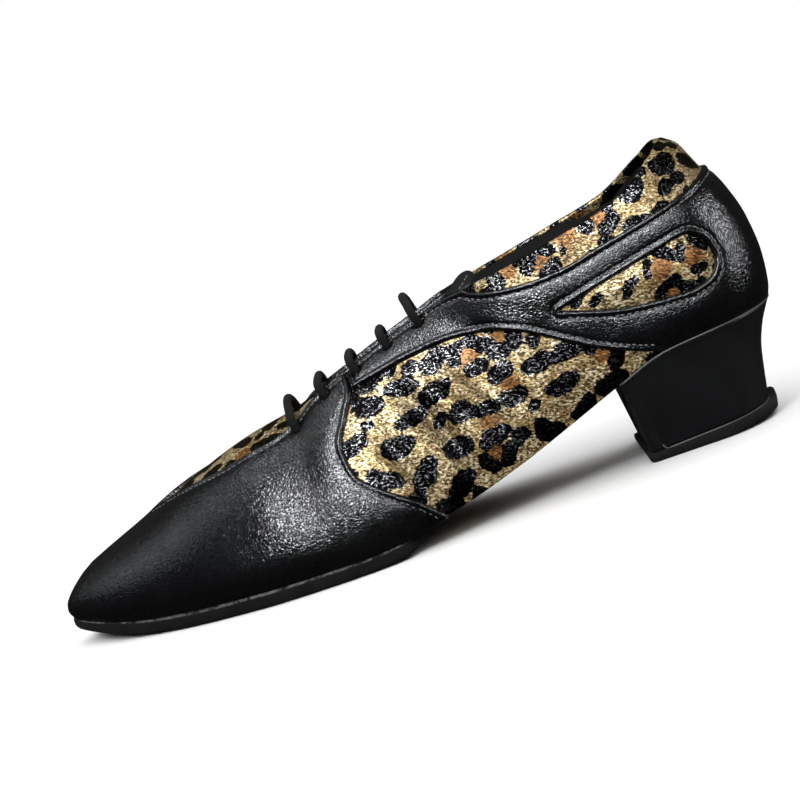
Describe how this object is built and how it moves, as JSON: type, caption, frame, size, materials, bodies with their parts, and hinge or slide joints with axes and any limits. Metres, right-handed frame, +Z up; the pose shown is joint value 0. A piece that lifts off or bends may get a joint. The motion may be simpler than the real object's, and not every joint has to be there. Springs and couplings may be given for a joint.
{
  "type": "dance shoe",
  "caption": "Heeled lace-up dance practice shoe for the left foot, with a split sole, a block heel and black leather overlays on a gold spotted upper.",
  "frame": {"origin": "on the floor under the middle of the heel's base", "axes": "+X towards the toe, +Y towards the outer side of this left shoe, +Z up from the floor"},
  "size_m": [0.2549, 0.0817, 0.0958],
  "materials": {
    "printed_leather": "crinkled gold foil with dark spots",
    "black_leather": "semi-gloss fine grain",
    "tongue_leather": "semi-gloss fine grain",
    "lining": "matte",
    "suede_sole": "suede",
    "heel_cover": "satin",
    "heel_tip": "matte",
    "lace": "matte braid"
  },
  "bodies": {
    "root": {"upper": "printed_leather", "quarter_overlay": "black_leather", "vamp_overlay": "black_leather", "tongue": "tongue_leather", "insole": "lining", "outsole": "suede_sole", "heel": "heel_cover", "top_lift": "heel_tip", "lace_bar_1": "lace", "lace_bar_2": "lace", "lace_bar_3": "lace", "lace_bar_4": "lace", "lace_bar_5": "lace"}
  },
  "joints": []
}
